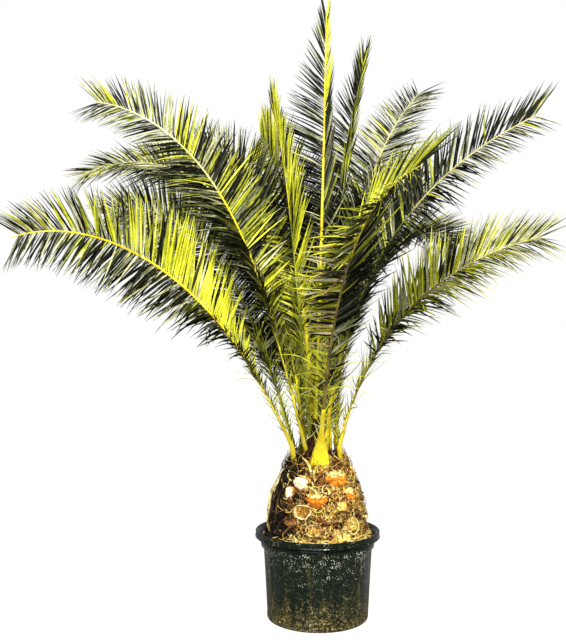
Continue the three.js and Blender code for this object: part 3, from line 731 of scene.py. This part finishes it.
# Angles are in degrees and lengths in millimetres. side is the frond's heading, rise its climb at the foot.
# droop, sway and twist are how far it bends down, turns aside and rolls by its tip. A higher stiffness keeps
# that bend near the tip. leaf is the share of the full leaflet length. open and openRight say how far the
# leaflets left and right of the rib stand open, beyond the shares fold and foldRight of the blade. Leaflets
# are short up to the share bare and few up to thin, and full is the share kept on each side. foot widens the
# stalk's foot. spines and whips are counts. rib is the colours of the rib's foot, middle and tip. tones are
# mixes of leaf colours: left of the rib near its foot and its tip, then right. turn is where they change.
# The tones paint light and shade: bright mixes on sides of a frond the sun lit, dark ones on sides in shade.
fronds = {
    "front": dict(
        seat="outer", side=273, rise=55, droop=42.5, sway=29.5, stiffness=3.5, twist=45, length=1310,
        leaf=1.1, bare=0.3, thin=0.34, foot=2.2, spines=50, whips=16, rib="yellow brown yellow",
        tones="dark olive cream lit"),
    "front_left": dict(
        seat="inner", side=188, rise=85, droop=9.5, sway=0, stiffness=5, twist=0, length=1220, leaf=0.8,
        open=0.1, openRight=0.5, foldRight=0.3, thin=0.5, rib="olive olive yellow",
        tones="solid solid mixed shaded"),
    "right_low": dict(
        seat="outer", side=334, rise=78, droop=68, sway=-3, stiffness=1.2, twist=45, length=1140, leaf=1,
        bare=0.04, thin=0.28, foot=1.15, rib="yellow brown straw", tones="lit light mixed light"),
    "left_low": dict(
        seat="outer", side=204, rise=63, droop=80, sway=29, stiffness=1.9, twist=-90, length=1430,
        leaf=0.92, thin=0.08, foot=1.15, rib="yellow yellow yellow", tones="dark shaded solid mixed"),
    "right_high": dict(
        seat="middle", side=305.5, rise=83, droop=65, sway=19, stiffness=1.05, twist=67, length=1460,
        leaf=0.82, full=(0.85, 0.9), rib="yellow olive straw", tones="dark dark dark shaded"),
    "left_high": dict(
        seat="middle", side=202, rise=74.7, droop=67, sway=-26, stiffness=3.05, twist=-68, length=1540,
        leaf=0.84, tones="dark shaded olive mixed"),
    "spear": dict(
        seat="centre", side=197, rise=92, droop=1, sway=2, stiffness=1.35, twist=90, length=1480,
        leaf=0.75, open=0.02, openRight=0, foldRight=0.65, full=(0.7, 0.65), turn=0.75,
        rib="yellow yellow yellow", tones="dark solid dark dark"),
    "right_spear": dict(
        seat="inner", side=48.5, rise=88.5, droop=20, sway=6, stiffness=1.1, twist=0, length=1500,
        leaf=0.75, open=0.1, openRight=0.05, fold=0.6, full=(0.9, 1), rib="brown olive olive",
        tones="dark dark dark olive"),
    "right_back": dict(
        seat="middle", side=59, rise=76, droop=34.7, sway=-19, stiffness=2, twist=22, length=1640,
        leaf=0.85, rib="yellow straw straw", tones="dark grey dark grey"),
    "back_left": dict(
        seat="inner", side=124, rise=84, droop=75, sway=-30, stiffness=2.2, twist=-75, length=1520,
        leaf=1.05, tones="lit solid dark lit"),
    "left_back": dict(
        seat="middle", side=149, rise=80, droop=107, sway=34, stiffness=2.35, twist=-36, length=1620,
        leaf=0.98, tones="shaded grey shaded mixed"),
    "left_behind": dict(
        seat="outer", side=131, rise=86, droop=103, sway=29, stiffness=2.3, twist=-80, length=1650,
        leaf=0.95, rib="olive olive straw", tones="grey grey dark shaded"),
    "right_behind": dict(
        seat="middle", side=20, rise=87, droop=112, sway=33, stiffness=1.85, twist=-23, length=1250,
        leaf=0.85, tones="dark shaded dark grey"),
    "back_middle": dict(
        seat="middle", side=102, rise=87, droop=112, sway=25, stiffness=1.5, twist=20, length=1450,
        leaf=0.9, tones="dark shaded dark mixed"),
    "back_right_low": dict(
        seat="outer", side=30, rise=86, droop=100, sway=20, stiffness=3, twist=-75, length=1330, leaf=1.05,
        tones="dark mixed dark grey"),
    "back_right": dict(
        seat="outer", side=70, rise=85, droop=106, sway=15, stiffness=1.9, twist=-75, length=1400,
        leaf=0.85, rib="olive olive straw", tones="dark mixed dark shaded"),
    "back": dict(
        seat="outer", side=98, rise=58, droop=74, sway=20, stiffness=1.1, twist=0, length=1200, leaf=0.95,
        rib="olive olive straw", tones="dark mixed dark straw"),
    "back_left_low": dict(
        seat="outer", side=161, rise=72, droop=90, sway=-11, stiffness=2.6, twist=-67, length=1420,
        leaf=1.1, rib="olive olive straw", tones="dark straw dark mixed"),
}
# dark and shaded are painted shade; solid, lit and cream are painted sunlight
toneMixes = {  # shares of each kind of leaflet
    "solid": {"sunny": 0.84, "green": 0.1, "pale": 0.02, "painted_shade": 0.04},
    "lit": {"sunny": 0.5, "green": 0.2, "pale": 0.1, "dull": 0.04, "painted_shade": 0.16},
    "mixed": {"sunny": 0.2, "green": 0.18, "pale": 0.2, "dull": 0.1, "painted_shade": 0.32},
    "olive": {"sunny": 0.16, "green": 0.42, "pale": 0.06, "dull": 0.08, "painted_shade": 0.28},
    "light": {"sunny": 0.24, "green": 0.14, "pale": 0.42, "painted_shade": 0.2},
    "cream": {"sunny": 0.4, "bleached": 0.44, "dry": 0.06, "painted_shade": 0.1},
    "straw": {"sunny": 0.16, "green": 0.08, "pale": 0.34, "dull": 0.06, "painted_shade": 0.36},
    "shaded": {"sunny": 0.03, "green": 0.09, "pale": 0.18, "dull": 0.16, "painted_shade": 0.54},
    "grey": {"sunny": 0.04, "green": 0.1, "pale": 0.3, "dull": 0.26, "painted_shade": 0.3},
    "dark": {"green": 0.06, "pale": 0.08, "dull": 0.12, "painted_shade": 0.74},
}
leafletSection = [(1, 0.8, 0), (0, 0, 1), (-1, 0.8, 0), (0, 0, -1)]  # folded along its midrib like a V


def frondAxes(frond, u):  # direction of the rib at shares u of its length, its left side and its upper side
    climb = np.radians(frond["rise"] - frond["droop"] * u ** frond["stiffness"])
    heading = np.radians(frond["side"] + frond["sway"] * u * u)
    along = polar(np.cos(climb), heading, np.sin(climb))
    left = np.stack([-np.sin(heading), np.cos(heading), np.zeros_like(heading)], -1)
    left = turned(left, along, math.radians(frond["twist"]) * smooth(u, 0.05, 0.75))
    return along, left, np.cross(along, left)


def ribSize(sizes, u):
    foot, low, start, tip = sizes
    swell = mix(foot, low, smooth(u, 0, 0.08))
    bare = mix(low, start, (u - 0.08) / (blade["start"] - 0.08))
    bladed = mix(start, tip, (u - blade["start"]) / (1 - blade["start"]))
    return np.where(u < 0.08, swell, np.where(u < blade["start"], bare, bladed))


def frondShape(frond):  # functions that give the rib's place and half sizes at shares of its length
    radius, height, size = seats[frond["seat"]]
    heading = math.radians(frond["side"])
    fine = 600  # steps along the rib
    middles = (np.arange(fine) + 0.5) / fine
    steps = frondAxes(frond, middles)[0] * frond["length"] * mm / fine
    path = polar(radius, heading, height) + np.vstack([np.zeros(3), np.cumsum(steps, 0)])
    places = np.linspace(0, 1, fine + 1)

    def pointAt(u):
        return np.stack([np.interp(u, places, path[:, i]) for i in range(3)], -1)

    def halfSizes(u):
        scale = mix(size, 1, smooth(u, 0.1, 0.3)) * mix(frond.get("foot", 1), 1, smooth(u, 0, 0.12))
        return ribSize(blade["ribWidth"], u) * scale / 2, ribSize(blade["ribDepth"], u) * scale / 2

    return pointAt, halfSizes


def awayFromRib(axes, hand, spread, lift):  # spread is measured from the rib, lift from the blade's plane
    along, left, up = axes
    sideways = left * (hand * np.sin(spread) * np.cos(lift))[:, None]
    return along * np.cos(spread)[:, None] + sideways + up * (np.sin(spread) * np.sin(lift))[:, None]


def leafletAim(frond, axes, hand, b, stray):
    fold = frond.get("fold" if hand > 0 else "foldRight", 0.1)
    openness = mix(1, frond.get("open" if hand > 0 else "openRight", 1), smooth(b, fold, fold + 0.35))
    spread = np.radians(mix(*blade["spread"], b ** blade["spreadEase"]) + 1.2 * stray)
    spread = spread * mix(0.3, 1, openness)
    lift = np.radians(mix(*blade["lift"], b) + 30 * (1 - openness))
    free = awayFromRib(axes, hand, spread, lift)
    sagged = free + np.array([0, 0, -1.0]) * (blade["sag"] * openness)[:, None]
    return unit(free), unit(sagged), openness


def leafletReach(frond, b):
    grown = smooth(b - frond.get("bare", 0), -0.05, 0.35)
    share = mix(0.3, 1, grown) * mix(1, blade["tipShare"], smooth(b, 0.5, 1))
    return blade["leafletLength"] * frond["leaf"] * share


def dealTone(mixture, count):  # places in leafKinds, by the shares of a mix
    weights = np.array([toneMixes[mixture].get(kind, 0) for kind in leafKinds])
    return rng.choice(len(weights), count, p=weights / weights.sum())


def dealInPairs(mixture, count):  # neighbours often share a colour
    pairs = np.repeat(dealTone(mixture, count // 2 + 2), 2)[:count]
    return np.where(rng.random(count) < 0.5, pairs, dealTone(mixture, count))


# The colours of one side's leaflets. Most lower ones are painted dark as shade, but few where the side is
# bright.
def leafletTones(frond, hand, b, lower):
    count, tones = len(b), frond["tones"].split()
    inner, outer = tones[:2] if hand > 0 else tones[2:]
    turn = frond.get("turn", 0.6 if inner == "solid" else 0.5)
    isInner = b < rng.normal(turn, 0.1 if turn < 0.7 else 0.04, count)
    kind = np.where(isInner, dealInPairs(inner, count), dealInPairs(outer, count))
    bright = ("solid", "cream", "light")
    isBright = np.where(isInner, inner in bright, outer in bright)
    inShade = rng.random(count) < np.where(isBright, 0.3, 0.75)
    return np.where(lower & inShade, dealTone("dark", count), kind)


# One side of a frond's leaflets. Each leaves the rib straight, then bends down under its own weight. They
# stand in two planes, an upper one that takes the light and a lower one behind, painted darker as shade.
def addLeaflets(frond, pointAt, halfSizes, hand, bundles):
    station = np.repeat(np.arange(blade["pairs"]), blade["finer"])
    sub = np.tile(np.arange(blade["finer"]), blade["pairs"])
    b = (station + (sub + 0.5) / blade["finer"]) / blade["pairs"]
    lower = sub % 2 == 1
    crowd = mix(0.16, 1, smooth(b, frond.get("thin", 0) - 0.06, frond.get("thin", 0) + 0.02))
    crowd = crowd * frond.get("full", (1, 1))[0 if hand > 0 else 1]
    chance = smooth(b, -0.12, 0.22) * crowd * np.where(lower, mix(1, 0.7, smooth(b, 0.4, 0.75)), 1)
    kept = rng.random(len(b)) < chance
    station, b, lower = station[kept], b[kept], lower[kept]
    count = len(b)
    u = mix(blade["start"], 1, b)
    axes = frondAxes(frond, u)
    along, left, up = axes
    stray = scatter(frond["length"] + station + 10 + hand / 4)  # one for each pair and side
    free, sagged, openness = leafletAim(frond, axes, hand, b, stray)
    tilt = np.where(lower, -0.2, 0.12) * mix(1.5, 0.5, b) * openness + rng.normal(size=count) * 0.12
    forward = 0.5 * (1 - smooth(b, 0, 0.2))
    free = unit(free + up * tilt[:, None] + along * (forward + rng.normal(size=count) * 0.1)[:, None])
    forward = forward + rng.normal(size=count) * 0.08
    sagged = unit(sagged + up * (tilt * 0.8)[:, None] + along * forward[:, None])
    length = leafletReach(frond, b) * (1 + 0.06 * stray) * rng.uniform(0.88, 1.02, count)
    root = pointAt(u) + left * (hand * halfSizes(u)[0] * 0.8)[:, None]
    tip = root + sagged * length[:, None]
    knee = root + unit(free * 0.35 + sagged * 0.65) * (length * 0.52)[:, None]
    t = np.linspace(0, 1, blade["rings"])
    weights = ((1 - t) ** 2, 2 * t * (1 - t), t ** 2)  # of a curve from root to tip, drawn towards the knee
    centre = sum(point[:, None] * w[:, None] for point, w in zip((root, knee, tip), weights))
    aim = unit(tip - root)
    stance = hand * (0.3 + rng.normal(size=count) * 0.45)
    lift = turned(across(up * 0.3 + blade["lightFrom"], aim), aim, stance)
    side = np.cross(lift, aim)
    outline = np.clip(0.34 + 2.6 * t, 0, 1) * np.clip(1.03 - t, 0.02, 1) ** 0.75
    width = blade["leafletWidth"] / 2 * mix(0.45, 1, smooth(b, 0, 0.3)) * mix(1, 0.6, smooth(b, 0.55, 1))
    halfWidth = np.outer(width * rng.uniform(0.7, 1.15, count), outline)
    halfDepth = np.outer(np.full(count, 0.9 * mm), np.clip(1.1 - t, 0.08, 1))
    lift, side = (np.repeat(v[:, None], blade["rings"], 1) for v in (lift, side))
    dealStrands(bundles, leafKinds, leafletTones(frond, hand, b, lower),
                (centre, side, lift, halfWidth, halfDepth), leafletSection)


# Narrow spiny first leaflets, crowded where the stalk turns into the blade.
def addSpines(frond, pointAt, halfSizes, bundles):
    count = frond.get("spines", 140)
    first, last = 0.045, blade["start"] + 0.2  # shares of the rib
    u = rng.uniform(first, last, count)
    hand = np.where(np.arange(count) % 2 == 0, 1.0, -1.0)
    axes = frondAxes(frond, u)
    spread = rng.uniform(0.25, 0.95, count)
    aim = unit(awayFromRib(axes, hand, spread, rng.normal(size=count) * 0.5 + 0.3))
    length = mix(60 * mm, 170 * mm, (u - first) / (last - first)) * rng.uniform(0.6, 1.15, count)
    root = pointAt(u) + axes[1] * (hand * halfSizes(u)[0] * 0.8)[:, None]
    t = np.linspace(0, 1, 5)
    bow = across(rng.normal(size=(count, 3)), aim) * (length * rng.uniform(0, 0.1, count))[:, None]
    centre, side, lift = straightStrands(root, aim, axes[2], length, t)
    centre = centre + bow[:, None] * np.sin(t * math.pi * 0.8)[:, None]
    half = np.outer(rng.uniform(1.6 * mm, 4 * mm, count), 1.03 - t)
    # the near-black ones are painted shade
    kind = rng.choice(4, count, p=[0.54, 0.1, 0.14, 0.22])
    dealStrands(bundles, ("sunny", "green", "pale", "painted_shade"), kind, (centre, side, lift, half, half * 0.4),
                threadSection)


# A few long limp leaflets that curl across the foot of the blade.
def addWhips(frond, pointAt, bundles):
    count, rings = frond.get("whips", 4), 10
    u = rng.uniform(0.12, 0.45, count)
    hand = rng.choice([-1.0, 1.0], count)
    along, left, up = frondAxes(frond, u)
    aim = unit(along * rng.uniform(0.1, 1.0, count)[:, None] + left * hand[:, None]
               + up * (rng.normal(size=count) * 0.5)[:, None])
    length = rng.uniform(110 * mm, 230 * mm, count)
    t = np.linspace(0, 1, rings)
    bow = across(rng.normal(size=(count, 3)), aim)
    centre, side, lift = straightStrands(pointAt(u), aim, up, length, t)
    centre = centre + bow[:, None] * ((length * 0.16)[:, None] * np.sin(t * math.pi * 0.9))[..., None]
    centre[..., 2] -= (length * 0.25)[:, None] * t ** 2
    half = np.outer(rng.uniform(1.6 * mm, 3 * mm, count), np.clip(1.03 - t, 0.05, 1) ** 0.6)
    depth = np.full((count, rings), 0.5 * mm)
    kind = rng.choice(4, count, p=[0.35, 0.35, 0.15, 0.15])
    dealStrands(bundles, ("sunny", "pale", "dry", "green"), kind, (centre, side, lift, half, depth),
                leafletSection)


rib = {
    "rings": 64, "corners": 12, "colourEnds": (14, 44),  # rings where the first two colours end
    "hidden": 4,  # first rings inside the trunk's shoulder, which give way to the clasp
    "claspLevels": (550 * mm, 566 * mm, 582 * mm), "claspOut": (1 * mm, 3 * mm, 6 * mm),
    "claspWidths": (0.7, 1.05, 1.08), "claspDepths": (0.3, 0.5, 0.8),  # shares of the rib's at its foot
}


# The rib: a rounded keel below, flatter above. The foot of an outer frond clasps the shoulder of the trunk.
def addRib(frond, pointAt, halfSizes, bundles):
    u = np.linspace(0, 1, rib["rings"]) ** 1.15
    along, left, up = frondAxes(frond, u)
    centre = pointAt(u)
    halfWidth, halfDepth = halfSizes(u)
    if frond["seat"] == "outer":
        heading = math.radians(frond["side"])
        clasp = onTrunk(np.full(3, heading), np.array(rib["claspLevels"]), np.array(rib["claspOut"]))
        shown = slice(rib["hidden"], None)
        centre = np.vstack([clasp, centre[shown]])
        left, up = (np.vstack([v[:3], v[shown]]) for v in (left, up))
        halfWidth = np.concatenate([halfWidth[0] * np.array(rib["claspWidths"]), halfWidth[shown]])
        halfDepth = np.concatenate([halfDepth[0] * np.array(rib["claspDepths"]), halfDepth[shown]])
    else:
        centre = np.vstack([centre[0] - along[0] * 16 * mm, centre])
        left, up = np.vstack([left[0], left]), np.vstack([up[0], up])
        halfWidth = np.concatenate([[halfWidth[0] * 1.12], halfWidth])
        halfDepth = np.concatenate([[halfDepth[0] * 1.1], halfDepth])
    centre = np.vstack([centre, centre[-1] + along[-1] * blade["endLength"] * 0.5])
    left, up = np.vstack([left, left[-1]]), np.vstack([up, up[-1]])
    halfWidth = np.append(halfWidth, 0.4 * mm)
    halfDepth = np.append(halfDepth, 0.3 * mm)
    angles = around(rib["corners"])
    depth = np.where(np.sin(angles) > 0, 0.75, 1.15) * np.sin(angles)
    section = np.stack([np.cos(angles), np.zeros(rib["corners"]), depth], -1)
    last = 0
    colours = frond.get("rib", "yellow yellow straw").split()
    for name, end in zip(colours, (*rib["colourEnds"], len(centre) - 1)):
        # left x up runs along the rib, so left is the side here
        parts = (v[None, last:end + 1] for v in (centre, left, up, halfWidth, halfDepth))
        addStrands(bundles[name], *parts, section)
        last = end


def solidsOf(name):  # the solids that a frond's own pieces stand for
    whole = "frond_" + name
    return [n for n in frame["nodes"] if n == whole or n in (whole + "_stalk", whole + "_tip")]


def makeFronds():
    leaves = {kind: newBundle() for kind in leafKinds}
    ribs = {kind: newBundle() for kind in stalkKinds}
    for name, frond in fronds.items():
        pointAt, halfSizes = frondShape(frond)
        for hand in (1, -1):
            addLeaflets(frond, pointAt, halfSizes, hand, leaves)
        addSpines(frond, pointAt, halfSizes, leaves)
        addWhips(frond, pointAt, leaves)
        addRib(frond, pointAt, halfSizes, ribs)
        print("frond", name, "grown")
    for kind, bundle in leaves.items():
        makePiece("leaflets_" + kind, bundle, leafKinds[kind])
    allSolids = [n for name in fronds for n in solidsOf(name)]
    for kind, bundle in ribs.items():
        replaced = allSolids if kind == "yellow" else ()
        makePiece("ribs_" + kind, bundle, stalkKinds[kind], replaced, shadeSmooth=True)


makeFronds()

stage = {
    "camera": (-0.128, -3.3, 1.1), "lens": 50,
    "sunFrom": (0.26, -1.0, 0.93), "sunStrength": 4.7, "sunAngle": 4,
    "fillFrom": (-0.9, -3.3, 2.3), "fillAt": (0, 0, 1.3), "fillWatts": 100, "fillSize": 2.4,
    "skyStrength": 0.42, "floorSize": 30, "floorShadow": 0.26, "floorGlow": 1.35,
}


def makeStage():
    half = stage["floorSize"] / 2
    mesh = bpy.data.meshes.new("floor")
    corners = [(-half, -half, 0), (half, -half, 0), (half, half, 0), (-half, half, 0)]
    mesh.from_pydata(corners, [], [[0, 1, 2, 3]])
    floor = addObject("floor", mesh)
    floor.location.z = -0.5 * mm
    # Pale matt floor, lifted towards white where it is looked at, so that shadows on it stay light.
    material, add, shader, _ = newMaterial("pale_floor", Roughness=0.9)
    shader.inputs["Base Color"].default_value = hexColour("a6a6a6")
    glow = add("ShaderNodeEmission", {"Color": hexColour("ffffff"), "Strength": stage["floorGlow"]})
    isLookedAt = add("ShaderNodeLightPath").outputs["Is Camera Ray"]
    lifted = add("ShaderNodeMath", {0: isLookedAt, 1: 1 - stage["floorShadow"]},
                 operation="MULTIPLY")
    blend = add("ShaderNodeMixShader", {0: lifted, 1: shader, 2: glow})
    give(material.node_tree.nodes["Material Output"].inputs["Surface"], blend)
    mesh.materials.append(material)

    world = bpy.data.worlds.new("white_studio")
    bpy.context.scene.world = world
    world.use_nodes = True
    add, nodes = partial(addNode, world.node_tree), world.node_tree.nodes
    seen = add("ShaderNodeBackground", {"Color": (1, 1, 1, 1), "Strength": 1.0})
    lighting = nodes["Background"]
    lighting.inputs["Color"].default_value = (0.93, 0.96, 1.0, 1)
    lighting.inputs["Strength"].default_value = stage["skyStrength"]
    isLookedAt = add("ShaderNodeLightPath").outputs["Is Camera Ray"]
    choice = add("ShaderNodeMixShader", {0: isLookedAt, 1: lighting, 2: seen})
    give(nodes["World Output"].inputs["Surface"], choice)

    sun = bpy.data.lights.new("sun", "SUN")
    sun.energy = stage["sunStrength"]
    sun.angle = math.radians(stage["sunAngle"])
    sun.color = (1.0, 0.97, 0.9)
    x, y, z = stage["sunFrom"]
    turn = math.atan2(y, x) + math.pi / 2
    addObject("sun", sun).rotation_euler = (math.atan2(math.hypot(x, y), z), 0, turn)

    fill = bpy.data.lights.new("fill", "AREA")
    fill.energy = stage["fillWatts"]
    fill.size = stage["fillSize"]
    lamp = addObject("fill", fill)
    lamp.location = stage["fillFrom"]
    away = Vector(stage["fillFrom"]) - Vector(stage["fillAt"])
    lamp.rotation_euler = away.to_track_quat("Z", "Y").to_euler()

    lens = bpy.data.cameras.new("camera")
    lens.lens = stage["lens"]
    camera = addObject("camera", lens)
    camera.location = stage["camera"]
    camera.rotation_euler = (math.pi / 2, 0, 0)
    bpy.context.scene.camera = camera
    bpy.context.scene.view_settings.view_transform = "Standard"


makeStage()
triangles = sum(len(p.vertices) - 2 for o in bpy.data.objects if o.type == "MESH" and not o.hide_render
                for p in o.data.polygons)
print("triangles in the visual model:", triangles)
